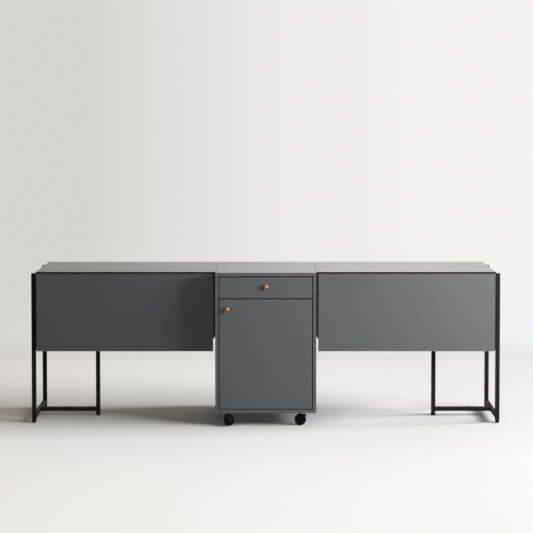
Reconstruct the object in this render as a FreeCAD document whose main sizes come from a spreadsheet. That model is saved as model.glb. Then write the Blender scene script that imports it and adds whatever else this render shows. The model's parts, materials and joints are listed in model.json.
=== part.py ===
import FreeCAD, Part

import math
import os
import re

import Sketcher

# Folding dining table: a drawer cabinet on castors between two drop-leaf wings.
# Frame: +X to the right along the table, +Y to the rear, +Z up, millimetres.
# The origin is on the floor under the middle of the overall box.
# The right front quarter is modelled, and mirrored for the other three.

DRIVING_SIZES = [
    # Overall
    ("table_length", 2300),
    ("table_height", 750),
    ("wing_depth", 400),
    # Cabinet carcass
    ("cabinet_width", 492),
    ("cabinet_proud", 24),
    ("cabinet_clearance", 64),
    ("carcass_board", 16),
    ("cabinet_top_board", 18),
    ("back_board", 8),
    ("back_setback", 8),
    ("divider_setback", 24),
    ("shelf_setback", 44),
    ("shelf_level", 340),
    ("shelf_side_gap", 0.5),
    ("shelf_pin_radius", 2.5),
    ("shelf_pin_reach", 8),
    ("shelf_pin_inset", 45),
    # Flush fronts
    ("front_board", 18),
    ("front_gap", 4),
    ("drawer_front_height", 103),
    # Drawer box and its runners
    ("drawer_board", 12),
    ("drawer_bottom_board", 6),
    ("drawer_length", 360),
    ("drawer_height", 72),
    ("drawer_lift", 11),
    ("drawer_bottom_lift", 8),
    ("runner_space", 13),
    ("runner_length", 350),
    ("runner_height", 38),
    ("runner_wall", 1.5),
    ("runner_lift", 16),
    ("slide_gap", 0.3),
    # Turned brass knobs
    ("knob_radius", 13.5),
    ("knob_neck_radius", 6),
    ("knob_foot_radius", 8),
    ("knob_foot", 3),
    ("knob_reach", 23),
    ("knob_head", 11),
    ("knob_crown", 2.5),
    ("drawer_knob_rise", 5),
    ("door_knob_inset", 38),
    ("door_knob_drop", 49),
    # Door pivots and catch
    ("pivot_inset", 10),
    ("pivot_radius", 3),
    ("pivot_depth", 18),
    ("pivot_plate", 3),
    ("pivot_plate_margin", 8),
    ("bore_fit", 0.05),
    ("catch_width", 44),
    ("catch_height", 16),
    ("catch_depth", 22),
    ("strike_plate", 1.5),
    # Wing tops, leaves and their continuous hinges
    ("wing_gap", 1.5),
    ("wing_end_reveal", 7),
    ("wing_board", 20),
    ("leaf_board", 18),
    ("leaf_height", 380),
    ("leaf_inner_gap", 9.5),
    ("leaf_outer_gap", 4),
    ("leaf_gap", 0.4),
    ("rebate_gap", 1),
    ("barrel_radius", 4),
    ("barrel_gap", 0.3),
    ("hinge_pin_radius", 1.5),
    ("hinge_plate", 1.2),
    ("hinge_plate_width", 18),
    ("knuckle_gap", 0.4),
    ("knuckle_count", 5),
    # Under-frame of a wing
    ("cheek_board", 18),
    ("cheek_height", 310),
    ("cheek_gap", 2),
    ("end_cheek_inset", 9),
    ("cleat_board", 6),
    ("cleat_height", 60),
    ("cleat_setback", 60),
    ("cleat_drop", 50),
    ("spine_width", 20),
    ("spine_height", 40),
    ("tube_wall", 1.5),
    # Steel legs
    ("post_size", 20),
    ("post_top_drop", 13),
    ("post_setback", 35),
    ("middle_post_inset", 305),
    ("rail_lift", 21),
    ("glide_height", 6),
    ("glide_radius", 9),
    ("middle_glide_radius", 13),
    ("standoff_radius", 8),
    ("standoff_drop", 45),
    ("standoff_pitch", 200),
    # Leaf stays: an arm on the leaf whose pin runs in a curved slot
    ("stay_standoff", 10),
    ("stay_reach", 80),
    ("stay_arm", 220),
    ("slot_low_depth", 57),
    ("slot_high_depth", 12),
    ("stay_pin_radius", 4),
    ("stay_arm_half_width", 7),
    ("stay_arm_thickness", 4),
    ("stay_side_gap", 0.5),
    ("guide_plate", 4),
    ("guide_margin", 12),
    ("slot_gap", 0.3),
    ("lug_thickness", 5),
    ("lug_half_height", 9),
    ("bracket_foot_width", 25),
    ("bracket_foot_half_height", 22),
    ("bracket_foot_board", 2.5),
    # Twin-wheel castors
    ("castor_side_inset", 57),
    ("castor_front_inset", 28),
    ("castor_trail", 20),
    ("castor_stem_radius", 3.5),
    ("castor_stem_depth", 15),
    ("castor_stem_reach", 12),
    ("castor_boss_radius", 7),
    ("wheel_radius", 25.5),
    ("wheel_width", 11),
    ("wheel_edge", 3),
    ("wheel_dish", 3),
    ("wheel_dish_radius", 18),
    ("wheel_gap", 0.4),
    ("axle_radius", 4),
    ("hood_drop", 9),
    ("hood_web_half", 4.6),
    ("hood_web_radius", 27),
    ("hood_radius", 28),
    ("hood_shell", 2),
    ("hood_skirt", 4),
    ("hood_floor_gap", 12),
]

DERIVED_SIZES = [
    ("half_length", "table_length / 2"),
    ("half_cabinet", "cabinet_width / 2"),
    ("wing_middle_y", "(cabinet_proud + knob_reach) / 2"),
    ("wing_front_y", "wing_middle_y - wing_depth / 2"),
    ("wing_rear_y", "wing_middle_y + wing_depth / 2"),
    ("cabinet_front_y", "wing_front_y - cabinet_proud"),
    ("front_back_y", "cabinet_front_y + front_board"),
    ("inside_x", "half_cabinet - carcass_board"),
    ("carcass_top_z", "table_height - cabinet_top_board"),
    ("floor_top_z", "cabinet_clearance + carcass_board"),
    ("back_front_y", "wing_rear_y - back_setback - back_board"),
    ("drawer_front_top_z", "carcass_top_z - front_gap"),
    ("drawer_front_low_z", "drawer_front_top_z - drawer_front_height"),
    ("door_top_z", "drawer_front_low_z - front_gap"),
    ("door_low_z", "floor_top_z + front_gap"),
    ("front_half_x", "inside_x - front_gap"),
    ("divider_middle_z", "(drawer_front_low_z + door_top_z) / 2"),
    ("divider_low_z", "divider_middle_z - carcass_board / 2"),
    ("divider_top_z", "divider_middle_z + carcass_board / 2"),
    ("drawer_low_z", "drawer_front_low_z + drawer_lift"),
    ("drawer_top_z", "drawer_low_z + drawer_height"),
    ("drawer_half_x", "inside_x - runner_space"),
    ("drawer_rear_y", "front_back_y + drawer_length"),
    ("drawer_floor_z", "drawer_low_z + drawer_bottom_lift"),
    ("runner_low_z", "drawer_low_z + runner_lift"),
    ("runner_top_z", "runner_low_z + runner_height"),
    ("pivot_x", "front_half_x - pivot_inset"),
    ("pivot_y", "cabinet_front_y + front_board / 2"),
    ("pivot_plate_low_z", "divider_middle_z - pivot_plate / 2"),
    ("pivot_plate_top_z", "divider_middle_z + pivot_plate / 2"),
    ("door_knob_x", "door_knob_inset - front_half_x"),
    ("door_knob_z", "door_top_z - door_knob_drop"),
    ("drawer_knob_z", "drawer_front_low_z + drawer_front_height / 2 + drawer_knob_rise"),
    ("wing_inner_x", "half_cabinet + wing_gap"),
    ("post_inner_x", "half_length - post_size"),
    ("wing_outer_x", "post_inner_x - wing_end_reveal"),
    ("wing_length", "wing_outer_x - wing_inner_x"),
    ("wing_under_z", "table_height - wing_board"),
    ("hinge_y", "wing_front_y + barrel_radius"),
    ("hinge_z", "table_height - barrel_radius"),
    ("top_edge_y", "hinge_y + barrel_radius + barrel_gap"),
    ("lip_under_z", "hinge_z - barrel_radius"),
    ("leaf_back_y", "wing_front_y + leaf_board"),
    ("rebate_y", "leaf_back_y + rebate_gap"),
    ("leaf_top_z", "hinge_z - barrel_radius - leaf_gap"),
    ("leaf_low_z", "leaf_top_z - leaf_height"),
    ("cheek_low_z", "wing_under_z - cheek_height"),
    ("cheek_front_y", "leaf_back_y + cheek_gap"),
    ("cheek_rear_y", "2 * wing_middle_y - cheek_front_y"),
    ("inner_cheek_x", "half_cabinet + cleat_board"),
    ("inner_face_x", "inner_cheek_x + cheek_board"),
    ("end_cheek_x", "wing_outer_x - end_cheek_inset"),
    ("end_face_x", "end_cheek_x - cheek_board"),
    ("stay_middle_x", "(inner_face_x + end_face_x) / 2"),
    ("spine_under_z", "wing_under_z - spine_height"),
    ("post_top_z", "table_height - post_top_drop"),
    ("post_front_y", "wing_front_y + post_setback"),
    ("post_rear_y", "wing_rear_y - post_setback"),
    ("middle_post_x", "half_length - middle_post_inset"),
    ("rail_top_z", "rail_lift + post_size"),
    ("stay_offset", "leaf_board - barrel_radius + stay_standoff"),
    ("slot_low_setback", "leaf_board + slot_low_depth"),
    ("slot_high_setback", "leaf_board + slot_high_depth"),
    ("stay_pivot_y", "hinge_y + stay_offset"),
    ("stay_pivot_z", "hinge_z - stay_reach"),
    ("guide_x", "inner_face_x + guide_plate"),
    ("arm_x", "guide_x + stay_side_gap"),
    ("arm_far_x", "arm_x + stay_arm_thickness"),
    ("lug_x", "arm_far_x + stay_side_gap"),
    ("castor_x", "half_cabinet - castor_side_inset"),
    ("castor_front_y", "cabinet_front_y + castor_front_inset"),
    ("castor_rear_y", "wing_rear_y - castor_front_inset"),
    ("hood_top_z", "cabinet_clearance - hood_drop"),
    ("castor_stem_low_z", "hood_top_z - castor_stem_depth"),
    ("wheel_inner", "hood_web_half + wheel_gap"),
    ("wheel_outer", "wheel_inner + wheel_width"),
]

# How far each castor is turned from trailing to the left.
CASTOR_TURNS = {
    "front_left": 118,
    "front_right": 0,
    "rear_left": 160,
    "rear_right": 75,
}

SLOT_ARCS = 4
PATH_NUDGE = 0.001
OVERSIZE = 5

doc = FreeCAD.newDocument("folding_dining_table")
dims = doc.addObject("Spreadsheet::Sheet", "dims")
SIZE_NAMES = {name for name, _ in DRIVING_SIZES + DERIVED_SIZES}
nodes = {}


def fill_sheet():
    """One row per size: its name, and its value or formula under the same alias."""
    for row, (name, value) in enumerate(DRIVING_SIZES + DERIVED_SIZES, start=1):
        text = f"={value}" if isinstance(value, str) else str(value)
        dims.set(f"A{row}", name)
        dims.set(f"B{row}", text)
        dims.setAlias(f"B{row}", name)
    doc.recompute()


def size(name):
    return float(dims.get(name))


def bound(text):
    """An expression in size names, as other objects refer to the sheet's cells."""
    def cell(word):
        return f"dims.{word[0]}" if word[0] in SIZE_NAMES else word[0]

    return re.sub(r"[a-z_]+", cell, str(text))


def bind(thing, prop, text):
    thing.setExpression(prop, bound(text))


def place(thing, x, y, z):
    for axis, text in zip("xyz", (x, y, z)):
        bind(thing, f"Placement.Base.{axis}", text)


def box(name, x, y, z):
    """A block from its low and high faces along each axis."""
    block = doc.addObject("Part::Box", name)
    for prop, (low, high) in zip(("Length", "Width", "Height"), (x, y, z)):
        bind(block, prop, f"({high}) - ({low})")
    place(block, x[0], y[0], z[0])
    return block


def rod(name, axis, radius, span, centre):
    """A round bar along an axis, with its span there and its centre on the other two."""
    bar = doc.addObject("Part::Cylinder", name)
    bind(bar, "Radius", radius)
    bind(bar, "Height", f"({span[1]}) - ({span[0]})")
    direction = FreeCAD.Vector(*(float(letter == axis) for letter in "xyz"))
    bar.Placement.Rotation = FreeCAD.Rotation(FreeCAD.Vector(0, 0, 1), direction)
    start = list(centre)
    start.insert("xyz".index(axis), span[0])
    place(bar, *start)
    return bar


def cut(name, base, *tools):
    tool = tools[0] if len(tools) == 1 else fuse(name + "_tools", *tools)
    result = doc.addObject("Part::Cut", name)
    result.Base = base
    result.Tool = tool
    return result


def fuse(name, *shapes):
    result = doc.addObject("Part::MultiFuse", name)
    result.Shapes = list(shapes)
    return result


def group(name, *shapes):
    result = doc.addObject("Part::Compound", name)
    result.Links = list(shapes)
    return result


def mirrored(name, source, axis, at):
    copy = doc.addObject("Part::Mirroring", name)
    copy.Source = source
    copy.Normal = FreeCAD.Vector(*(float(letter == axis) for letter in "xyz"))
    bind(copy, f"Base.{axis}", at)
    return copy


def to_rear(name, source):
    return mirrored(name, source, "y", "wing_middle_y")


def to_left(name, source):
    return mirrored(name, source, "x", "0")


def both_ends(name, source):
    """A piece at the inner cheek, and its mirror image at the end cheek."""
    return group(name, source, mirrored(name + "_end", source, "x", "stay_middle_x"))


def node(label, thing):
    thing.Label = label
    nodes[label] = thing
    return thing


def outline(body, name, plane, corners):
    """A closed sketch whose corners are each set from the origin by two bound sizes."""
    sketch = body.newObject("Sketcher::SketchObject", name)
    origin_plane = next(part for part in body.Origin.OriginFeatures if part.Role == plane)
    sketch.AttachmentSupport = [(origin_plane, "")]
    sketch.MapMode = "FlatFace"
    count = len(corners)
    turn = 2 * math.pi / count
    spots = [FreeCAD.Vector(math.cos(turn * k), math.sin(turn * k), 0) for k in range(count)]
    for k in range(count):
        sketch.addGeometry(Part.LineSegment(spots[k], spots[(k + 1) % count]), False)
    for k in range(count):
        sketch.addConstraint(Sketcher.Constraint("Coincident", k, 2, (k + 1) % count, 1))
    for k, corner in enumerate(corners):
        for kind, text, spot in zip(("DistanceX", "DistanceY"), corner, (spots[k].x, spots[k].y)):
            index = sketch.addConstraint(Sketcher.Constraint(kind, -1, 1, k, 1, spot))
            bind(sketch, f"Constraints[{index}]", text)
    return sketch


def padded(name, corners, start, length):
    """A profile in the Y-Z plane, padded along +X."""
    body = doc.addObject("PartDesign::Body", name)
    sketch = outline(body, name + "_profile", "YZ_Plane", corners)
    bind(sketch, "AttachmentOffset.Base.z", start)
    pad = body.newObject("PartDesign::Pad", name + "_pad")
    pad.Profile = sketch
    bind(pad, "Length", length)
    return body


def turned(name, corners):
    """A profile of (radius, height) corners, turned about the body's own Z axis."""
    body = doc.addObject("PartDesign::Body", name)
    sketch = outline(body, name + "_profile", "XZ_Plane", corners)
    spin = body.newObject("PartDesign::Revolution", name + "_turning")
    spin.Profile = sketch
    spin.ReferenceAxis = (sketch, ["V_Axis"])
    spin.Angle = 360
    return body


def build_carcass():
    depth = ("cabinet_front_y", "wing_rear_y")
    right = box("carcass_right", ("inside_x", "half_cabinet"), depth, ("cabinet_clearance", "carcass_top_z"))
    node("cabinet_right_side", right)
    node("cabinet_left_side", to_left("carcass_left", right))
    top = box("carcass_top", ("-half_cabinet", "half_cabinet"), depth, ("carcass_top_z", "table_height"))
    node("cabinet_top", top)
    inside = ("-inside_x", "inside_x")
    floor = box("carcass_floor", inside, depth, ("cabinet_clearance", "floor_top_z"))
    pivot_hole = rod("floor_pivot_hole", "z", "pivot_radius", ("floor_top_z - pivot_depth", "floor_top_z"),
                     ("pivot_x", "pivot_y"))
    holes = [pivot_hole]
    stem_z = ("cabinet_clearance", "cabinet_clearance + castor_stem_reach")
    for depth_name in ("front", "rear"):
        spot = ("castor_x", f"castor_{depth_name}_y")
        hole = rod(f"{depth_name}_stem_hole", "z", "castor_stem_radius", stem_z, spot)
        holes += [hole, to_left(f"{depth_name}_stem_hole_left", hole)]
    node("cabinet_bottom", cut("carcass_bottom", floor, *holes))
    back = box("carcass_back", inside, ("back_front_y", "back_front_y + back_board"),
               ("floor_top_z", "carcass_top_z"))
    node("cabinet_back", back)
    divider = box("carcass_divider", inside, ("cabinet_front_y + divider_setback", "back_front_y"),
                  ("divider_low_z", "divider_top_z"))
    node("cabinet_divider", divider)


def build_shelf():
    half = "inside_x - shelf_side_gap"
    front, rear = "cabinet_front_y + shelf_setback", "back_front_y - shelf_side_gap"
    shelf = box("shelf_board", (f"-({half})", half), (front, rear),
                ("shelf_level", "shelf_level + carcass_board"))
    node("cabinet_shelf", shelf)
    pins = []
    for name, y in (("front", f"{front} + shelf_pin_inset"), ("rear", f"{rear} - shelf_pin_inset")):
        pin = rod(f"shelf_pin_{name}", "x", "shelf_pin_radius", ("inside_x - shelf_pin_reach", "inside_x"),
                  (y, "shelf_level - shelf_pin_radius"))
        pins += [pin, to_left(f"shelf_pin_{name}_left", pin)]
    node("shelf_pins", group("shelf_pin_set", *pins))


def build_runners():
    """Fixed channels on the cabinet sides, each open towards the drawer."""
    span = ("front_back_y + divider_setback", "front_back_y + divider_setback + runner_length")
    channel = box("runner_channel", ("drawer_half_x + slide_gap", "inside_x"), span,
                  ("runner_low_z", "runner_top_z"))
    hollow = box("runner_hollow", ("drawer_half_x", "inside_x - runner_wall"),
                 (f"{span[0]} - slide_gap", f"{span[1]} + slide_gap"),
                 ("runner_low_z + runner_wall", "runner_top_z - runner_wall"))
    runner = cut("runner_right", channel, hollow)
    node("drawer_runners", group("runner_pair", runner, to_left("runner_left", runner)))


def build_drawer():
    front = box("drawer_front_board", ("-front_half_x", "front_half_x"), ("cabinet_front_y", "front_back_y"),
                ("drawer_front_low_z", "drawer_front_top_z"))
    node("drawer_front", front)
    height = ("drawer_low_z", "drawer_top_z")
    inside = "drawer_half_x - drawer_board"
    side = box("drawer_side_right", (inside, "drawer_half_x"), ("front_back_y", "drawer_rear_y"), height)
    node("drawer_sides", group("drawer_side_pair", side, to_left("drawer_side_left", side)))
    across = (f"-({inside})", inside)
    back = box("drawer_back_board", across, ("drawer_rear_y - drawer_board", "drawer_rear_y"), height)
    node("drawer_back", back)
    bottom = box("drawer_bottom_sheet", across, ("front_back_y", "drawer_rear_y - drawer_board"),
                 ("drawer_floor_z", "drawer_floor_z + drawer_bottom_board"))
    node("drawer_bottom", bottom)
    slide = box("drawer_slide_right", ("drawer_half_x", "inside_x - runner_wall - slide_gap"),
                ("front_back_y + divider_setback", "drawer_rear_y"),
                ("runner_low_z + runner_wall + slide_gap", "runner_top_z - runner_wall - slide_gap"))
    node("drawer_slides", group("drawer_slide_pair", slide, to_left("drawer_slide_left", slide)))


def build_door():
    panel = box("door_board", ("-front_half_x", "front_half_x"), ("cabinet_front_y", "front_back_y"),
                ("door_low_z", "door_top_z"))
    bore = "pivot_radius + bore_fit"
    spot = ("pivot_x", "pivot_y")
    depth = "(pivot_depth + slide_gap)"
    low_bore = rod("door_low_bore", "z", bore, ("door_low_z", f"door_low_z + {depth}"), spot)
    top_bore = rod("door_top_bore", "z", bore, (f"door_top_z - {depth}", "door_top_z"), spot)
    node("door_panel", cut("door_bored", panel, low_bore, top_bore))
    low_pin = rod("pivot_low_pin", "z", "pivot_radius",
                  ("floor_top_z - pivot_depth", "door_low_z + pivot_depth"), spot)
    plate = box("pivot_top_plate", ("pivot_x - pivot_plate_margin", "inside_x"),
                ("pivot_y - pivot_plate_margin", "pivot_y + pivot_plate_margin"),
                ("pivot_plate_low_z", "pivot_plate_top_z"))
    top_pin = rod("pivot_top_pin", "z", "pivot_radius",
                  ("door_top_z - pivot_depth", "pivot_plate_top_z"), spot)
    node("door_pivots", group("door_pivot_set", low_pin, fuse("pivot_top_arm", plate, top_pin)))
    catch_x = ("-front_half_x + catch_width", "-front_half_x + 2 * catch_width")
    strike_face = "front_back_y + strike_plate"
    catch_face = f"{strike_face} + slide_gap"
    catch_z = ("divider_low_z - catch_height", "divider_low_z")
    catch = box("catch_body", catch_x, (catch_face, f"{catch_face} + catch_depth"), catch_z)
    node("door_catch", catch)
    strike = box("strike_body", catch_x, ("front_back_y", strike_face), catch_z)
    node("door_strike", strike)


def build_knobs():
    """Turned knobs: a foot on the front, a waisted neck and a flat head with a low crown."""
    head_low = "knob_reach - knob_head"
    knob = turned("knob", [
        ("0", "0"),
        ("knob_foot_radius", "0"),
        ("knob_foot_radius", "knob_foot / 2"),
        ("knob_neck_radius", "knob_foot"),
        ("knob_neck_radius", f"{head_low} - knob_crown"),
        ("knob_radius - knob_crown / 2", head_low),
        ("knob_radius", f"{head_low} + knob_crown / 2"),
        ("knob_radius", "knob_reach - knob_crown"),
        ("knob_radius - knob_crown", "knob_reach"),
        ("0", "knob_reach"),
    ])
    outwards = FreeCAD.Rotation(FreeCAD.Vector(1, 0, 0), 90)
    for label, x, z in (("drawer_knob", "0", "drawer_knob_z"), ("door_knob", "door_knob_x", "door_knob_z")):
        copy = group(label + "_turned", knob)
        copy.Placement.Rotation = outwards
        place(copy, x, "cabinet_front_y", z)
        node(label, copy)


def build_wing_top():
    """A board whose long edges are rebated underneath, so the leaves hang under a lip."""
    groove = ("hinge_z - hinge_plate / 2", "hinge_z + hinge_plate / 2")
    far = "top_edge_y + hinge_plate_width"
    front = [
        ("top_edge_y", "table_height"),
        ("top_edge_y", groove[1]),
        (far, groove[1]),
        (far, groove[0]),
        ("top_edge_y", groove[0]),
        ("top_edge_y", "lip_under_z"),
        ("rebate_y", "lip_under_z"),
        ("rebate_y", "wing_under_z"),
    ]
    rear = [(f"2 * wing_middle_y - ({y})", z) for y, z in reversed(front)]
    top = padded("wing_top", front + rear, "wing_inner_x", "wing_length")
    node("right_wing_top", top)
    node("left_wing_top", to_left("wing_top_left", top))


def build_wing_frame():
    depth = ("cheek_front_y", "cheek_rear_y")
    height = ("cheek_low_z", "wing_under_z")
    inner = box("inner_cheek", ("inner_cheek_x", "inner_face_x"), depth, height)
    end = box("end_cheek", ("end_face_x", "end_cheek_x"), depth, height)
    node("inner_cheeks", group("inner_cheek_pair", inner, to_left("inner_cheek_left", inner)))
    node("end_cheeks", group("end_cheek_pair", end, to_left("end_cheek_left", end)))
    spine = tube("spine", "x", ("inner_face_x", "end_face_x"),
                 ("wing_middle_y - spine_width / 2", "wing_middle_y + spine_width / 2"),
                 ("spine_under_z", "wing_under_z"))
    node("spine_tubes", group("spine_pair", spine, to_left("spine_left", spine)))
    cleat = box("cleat", ("half_cabinet", "inner_cheek_x"),
                ("wing_front_y + cleat_setback", "wing_rear_y - cleat_setback"),
                ("wing_under_z - cleat_drop - cleat_height", "wing_under_z - cleat_drop"))
    node("joining_cleats", group("cleat_pair", cleat, to_left("cleat_left", cleat)))


def tube(name, axis, x, y, z, closed_end=False):
    """A square steel tube, open along one axis, or closed by a cap at its high end."""
    spans = {"x": x, "y": y, "z": z}
    bore = {}
    for letter, (low, high) in spans.items():
        if letter != axis:
            bore[letter] = (f"{low} + tube_wall", f"{high} - tube_wall")
        else:
            bore_end = f"{high} - tube_wall" if closed_end else f"{high} + {OVERSIZE}"
            bore[letter] = (f"{low} - {OVERSIZE}", bore_end)
    outside = box(name + "_outside", x, y, z)
    inside = box(name + "_inside", bore["x"], bore["y"], bore["z"])
    return cut(name, outside, inside)


def build_legs():
    """Two end posts and a middle post, tied near the floor by an end rail and a stretcher."""
    end_x = ("post_inner_x", "half_length")
    front_y = ("post_front_y", "post_front_y + post_size")
    middle_x = ("middle_post_x - post_size / 2", "middle_post_x + post_size / 2")
    middle_y = ("wing_middle_y - post_size / 2", "wing_middle_y + post_size / 2")
    rail_z = ("rail_lift", "rail_top_z")
    front = tube("front_post", "z", end_x, front_y, ("glide_height", "post_top_z"), closed_end=True)
    middle = tube("middle_post", "z", middle_x, middle_y, ("glide_height", "spine_under_z"), closed_end=True)
    posts = group("post_set", front, to_rear("rear_post", front), middle)
    node("right_leg_posts", posts)
    node("left_leg_posts", to_left("post_set_left", posts))
    rail = tube("end_rail", "y", end_x, ("post_front_y + post_size", "post_rear_y - post_size"), rail_z)
    stretcher = tube("stretcher", "x", (middle_x[1], "post_inner_x"), middle_y, rail_z)
    rails = group("rail_set", rail, stretcher)
    node("right_leg_rails", rails)
    node("left_leg_rails", to_left("rail_set_left", rails))
    glide = rod("front_glide", "z", "glide_radius", ("0", "glide_height"),
                ("half_length - post_size / 2", "post_front_y + post_size / 2"))
    middle_glide = rod("middle_glide", "z", "middle_glide_radius", ("0", "glide_height"),
                       ("middle_post_x", "wing_middle_y"))
    glides = group("glide_set", glide, to_rear("rear_glide", glide), middle_glide)
    node("leg_glides", group("glide_sets", glides, to_left("glide_set_left", glides)))
    build_standoffs()


def build_standoffs():
    """Round spacers that hold the end posts clear of the wing."""
    spacers = []
    for place_name, drop in (("upper", "standoff_drop"), ("lower", "standoff_drop + standoff_pitch")):
        spacer = rod(f"{place_name}_standoff", "x", "standoff_radius", ("end_cheek_x", "post_inner_x"),
                     ("post_front_y + post_size / 2", f"post_top_z - ({drop})"))
        spacers += [spacer, to_rear(f"{place_name}_standoff_rear", spacer)]
    wing = group("standoff_set", *spacers)
    node("leg_standoffs", group("standoff_sets", wing, to_left("standoff_set_left", wing)))


def hinge_half(name, plate, web, knuckles):
    """A hinge plate with every second knuckle of the barrel, bored for the pin."""
    count = int(size("knuckle_count"))
    pitch = size("wing_length") / count
    gap = size("knuckle_gap") / 2
    along = FreeCAD.Vector(1, 0, 0)
    shapes = []
    for k in knuckles:
        start = size("wing_inner_x") + k * pitch + gap
        span = pitch - 2 * gap
        axis_point = FreeCAD.Vector(start, size("hinge_y"), size("hinge_z"))
        shapes.append(Part.makeCylinder(size("barrel_radius"), span, axis_point, along))
        corner = FreeCAD.Vector(start, web[0][0], web[1][0])
        shapes.append(Part.makeBox(span, *(high - low for low, high in web), corner))
    blank = Part.makeBox(*(high - low for low, high in plate), FreeCAD.Vector(*(low for low, _ in plate)))
    bore_start = FreeCAD.Vector(size("wing_inner_x") - OVERSIZE, size("hinge_y"), size("hinge_z"))
    bore = Part.makeCylinder(size("hinge_pin_radius") + size("bore_fit"), size("wing_length") + 2 * OVERSIZE,
                             bore_start, along)
    half = doc.addObject("Part::Feature", name)
    half.Shape = blank.fuse(shapes).removeSplitter().cut(bore)
    return half


def build_hinges():
    """Continuous hinges: one plate in the top's edge, one in the leaf's, and a pin."""
    count = int(size("knuckle_count"))
    y, z = size("hinge_y"), size("hinge_z")
    half_plate = size("hinge_plate") / 2
    edge = size("top_edge_y")
    wide = (size("wing_inner_x"), size("wing_outer_x"))
    level = (z - half_plate, z + half_plate)
    top_half = hinge_half("hinge_top_half", (wide, (edge, edge + size("hinge_plate_width")), level),
                          ((y, edge), level), range(0, count, 2))
    leaf_top = size("leaf_top_z")
    narrow = (wide[0] + size("leaf_inner_gap"), wide[1] - size("leaf_outer_gap"))
    upright = (y - half_plate, y + half_plate)
    hanging = (leaf_top - size("hinge_plate_width"), leaf_top)
    leaf_half = hinge_half("hinge_leaf_half", (narrow, upright, hanging), (upright, (leaf_top, z)),
                           range(1, count, 2))
    pin = rod("hinge_pin", "x", "hinge_pin_radius", ("wing_inner_x", "wing_outer_x"), ("hinge_y", "hinge_z"))
    node("wing_hinge_plates", four("hinge_top_halves", top_half))
    node("hinge_pins", four("hinge_pin_set", pin))
    quarters("leaf_hinge", leaf_half)


def four(name, source):
    """A right front piece with its three mirror images, as one group."""
    front = group(name + "_front", source, to_left(name + "_front_left", source))
    return group(name, front, to_rear(name + "_rear", front))


def quarters(label, source):
    """A right front piece and its three mirror images, each a node of its own."""
    rear = to_rear(label + "_rear", source)
    node(f"right_front_{label}", source)
    node(f"right_rear_{label}", rear)
    node(f"left_front_{label}", to_left(label + "_front_left", source))
    node(f"left_rear_{label}", to_left(label + "_rear_left", rear))


def build_leaves():
    """Hanging boards, grooved along the top edge for their hinge plates."""
    groove = ("hinge_y - hinge_plate / 2", "hinge_y + hinge_plate / 2")
    groove_low = "leaf_top_z - hinge_plate_width"
    leaf = padded("leaf_board_body", [
        ("wing_front_y", "leaf_low_z"),
        ("leaf_back_y", "leaf_low_z"),
        ("leaf_back_y", "leaf_top_z"),
        (groove[1], "leaf_top_z"),
        (groove[1], groove_low),
        (groove[0], groove_low),
        (groove[0], "leaf_top_z"),
        ("wing_front_y", "leaf_top_z"),
    ], "wing_inner_x + leaf_inner_gap", "wing_length - leaf_inner_gap - leaf_outer_gap")
    quarters("leaf", leaf)


def stay_angles():
    """The arm's angle from the leaf, hanging and raised, from how deep the slot's ends lie."""
    arm = size("stay_arm")
    hanging = math.asin((size("slot_low_setback") - size("barrel_radius") - size("stay_offset")) / arm)
    raised = math.asin((size("slot_high_setback") - size("barrel_radius") + size("stay_reach")) / arm)
    return hanging, raised + math.pi / 2


def stay_pin_spot(share):
    """The stay's pin in the Y-Z plane, with the leaf raised by a share of its quarter turn.

    The arm turns on the leaf at a steady ratio to the leaf itself."""
    hanging, raised = stay_angles()
    leaf_turn = share * math.pi / 2
    arm_turn = hanging + share * (raised - hanging) - leaf_turn
    offset, reach, arm = size("stay_offset"), size("stay_reach"), size("stay_arm")
    pivot_y = size("hinge_y") + offset * math.cos(leaf_turn) - reach * math.sin(leaf_turn)
    pivot_z = size("hinge_z") - offset * math.sin(leaf_turn) - reach * math.cos(leaf_turn)
    y = pivot_y + arm * math.sin(arm_turn)
    z = pivot_z - arm * math.cos(arm_turn)
    return FreeCAD.Vector(size("inner_face_x"), y, z)


def build_stays():
    build_stay_guides()
    bracket_foot = box("bracket_foot", ("lug_x", "lug_x + bracket_foot_width"),
                       ("leaf_back_y", "leaf_back_y + bracket_foot_board"),
                       ("stay_pivot_z - bracket_foot_half_height", "stay_pivot_z + bracket_foot_half_height"))
    lug_x = ("lug_x", "lug_x + lug_thickness")
    lug = box("bracket_lug", lug_x, ("leaf_back_y", "stay_pivot_y"),
              ("stay_pivot_z - lug_half_height", "stay_pivot_z + lug_half_height"))
    lug_eye = rod("bracket_eye", "x", "lug_half_height", lug_x, ("stay_pivot_y", "stay_pivot_z"))
    lug_pin = rod("bracket_pin", "x", "stay_pin_radius", ("arm_x", "lug_x + lug_thickness"),
                  ("stay_pivot_y", "stay_pivot_z"))
    bracket = fuse("stay_bracket", bracket_foot, lug, lug_eye, lug_pin)
    quarters("stay_brackets", both_ends("stay_bracket_pair", bracket))
    quarters("stays", both_ends("stay_pair", build_stay_arm()))


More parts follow.
